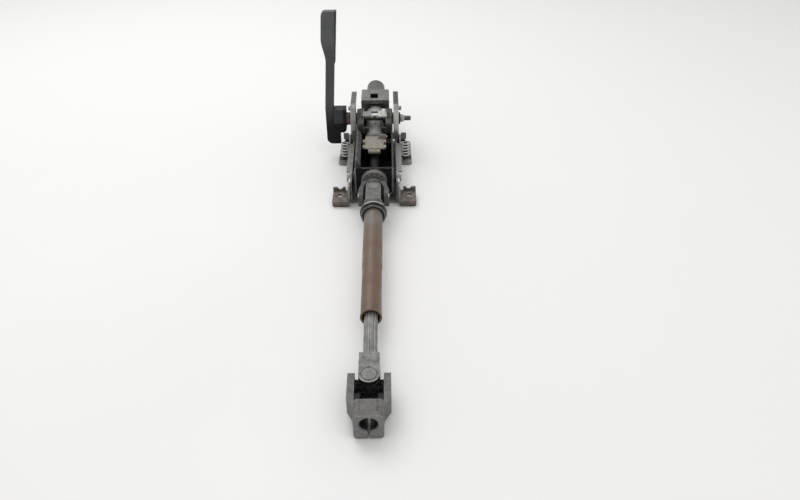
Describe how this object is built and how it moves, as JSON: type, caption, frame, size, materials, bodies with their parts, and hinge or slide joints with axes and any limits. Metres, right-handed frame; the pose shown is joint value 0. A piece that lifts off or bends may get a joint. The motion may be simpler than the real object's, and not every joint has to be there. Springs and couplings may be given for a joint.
{
  "type": "steering column",
  "caption": "Tilting and telescoping car steering column with a clamp lever, balance springs, steering-lock casting and a jointed intermediate shaft that ends in a pinion clamp yoke.",
  "frame": {"origin": "underside of the bracket's web, which is the mounting face, midway between the ear holes", "axes": "+Y along the column towards the steering wheel, +Z away from the mounting face, +X to the right as seen from the pinion end"},
  "size_m": [0.1525, 0.8429, 0.2553],
  "materials": {
    "galvanised_steel": "dull galvanised sheet",
    "phosphated_steel": "brown phosphated sheet, worn",
    "black_painted_steel": "satin black dip paint",
    "spring_steel": "bare spring wire",
    "bearing_steel": "ground bearing steel",
    "zinc_plated_steel": "zinc plate, dulled",
    "rusty_steel": "surface rust",
    "black_plastic": "satin moulded plastic",
    "ivory_plastic": "moulded bearing plastic",
    "cast_aluminium": "as-cast, dull",
    "chromated_steel": "beige chromate",
    "drawn_steel": "drawn, oiled",
    "forged_steel": "forged, bead-blasted",
    "cast_iron": "rough cast",
    "brown_steel": "worn brown phosphate with rust",
    "black_rubber": "moulded rubber"
  },
  "bodies": {
    "bracket": {"mounting_bracket": "galvanised_steel", "left_ear": "phosphated_steel", "right_ear": "phosphated_steel", "pivot_pins": "zinc_plated_steel", "left_balance_spring": "spring_steel", "right_balance_spring": "spring_steel"},
    "column_box": {"box_channel": "black_painted_steel", "end_plate": "black_painted_steel", "lower_bearing": "bearing_steel", "pivot_spacers": "zinc_plated_steel", "spring_arms": "black_painted_steel", "front_guide": "black_plastic", "rear_guide": "black_plastic", "clamp_spacers": "zinc_plated_steel", "clamp_bolt": "zinc_plated_steel", "fixed_cam": "rusty_steel", "clamp_washer": "zinc_plated_steel", "clamp_nut": "zinc_plated_steel"},
    "lever": {"moving_cam": "zinc_plated_steel", "lever_hub": "black_plastic", "lever_handle": "black_plastic"},
    "jacket": {"jacket_tube": "drawn_steel", "telescope_saddle": "cast_aluminium", "crash_strap": "chromated_steel", "strap_roller": "chromated_steel", "lock_housing": "cast_aluminium", "inner_bush": "ivory_plastic", "upper_bearing": "bearing_steel"},
    "upper_steering_shaft": {"upper_shaft": "drawn_steel", "lock_collar": "bearing_steel"},
    "lower_steering_shaft": {"lower_shaft": "black_painted_steel", "retaining_ring": "bearing_steel", "upper_fork": "forged_steel", "upper_fork_cups": "bearing_steel"},
    "upper_joint_cross": {"upper_cross": "bearing_steel"},
    "tube": {"tube_yoke": "forged_steel", "tube_yoke_cups": "bearing_steel", "damper_bush": "black_rubber", "intermediate_tube": "brown_steel", "spline_sleeve": "ivory_plastic"},
    "inner_steering_shaft": {"inner_shaft": "drawn_steel", "inner_fork": "drawn_steel", "inner_fork_cups": "bearing_steel"},
    "lower_joint_cross": {"lower_cross": "bearing_steel"},
    "pinion_clamp": {"pinion_yoke": "cast_iron", "pinion_yoke_cups": "bearing_steel"}
  },
  "joints": [
    {"name": "tilt", "type": "hinge", "parent": "bracket", "child": "column_box", "pos_m": [0, 0.014, 0.036], "axis": [1, 0, 0], "range_deg": [-3, 2], "deforming": ["left_balance_spring", "right_balance_spring"]},
    {"name": "telescope", "type": "slide", "parent": "column_box", "child": "jacket", "axis": [0, 0.9981, 0.061], "range_m": [-0.02, 0.02]},
    {"name": "clamp_lever", "type": "hinge", "parent": "column_box", "child": "lever", "pos_m": [0, 0.16513, 0.07129], "axis": [-1, 0, 0], "range_deg": [0, 75]},
    {"name": "steering_spin", "type": "hinge", "parent": "column_box", "child": "lower_steering_shaft", "pos_m": [0, 0.014, 0.036], "axis": [0, 0.9981, 0.061], "continuous": true},
    {"name": "wheel_spin", "type": "hinge", "parent": "jacket", "child": "upper_steering_shaft", "pos_m": [0, 0.014, 0.036], "axis": [0, 0.9981, 0.061], "continuous": true},
    {"name": "upper_joint_nod", "type": "hinge", "parent": "lower_steering_shaft", "child": "upper_joint_cross", "pos_m": [0, -0.04888, 0.03215], "axis": [1, 0, 0], "range_deg": [-28, 28]},
    {"name": "upper_joint_swing", "type": "hinge", "parent": "upper_joint_cross", "child": "tube", "pos_m": [0, -0.04888, 0.03215], "axis": [0, -0.0294, 0.9996], "range_deg": [-28, 28]},
    {"name": "shaft_slip", "type": "slide", "parent": "tube", "child": "inner_steering_shaft", "axis": [0, 0.9996, 0.0294], "range_m": [-0.025, 0.025]},
    {"name": "lower_joint_swing", "type": "hinge", "parent": "inner_steering_shaft", "child": "lower_joint_cross", "pos_m": [0, -0.421, 0.0212], "axis": [0, -0.0294, 0.9996], "range_deg": [-28, 28]},
    {"name": "lower_joint_nod", "type": "hinge", "parent": "lower_joint_cross", "child": "pinion_clamp", "pos_m": [0, -0.421, 0.0212], "axis": [1, 0, 0], "range_deg": [-25, 25]}
  ],
  "couplings": [
    {"joint": "wheel_spin", "follows": "steering_spin", "ratio": 1}
  ]
}
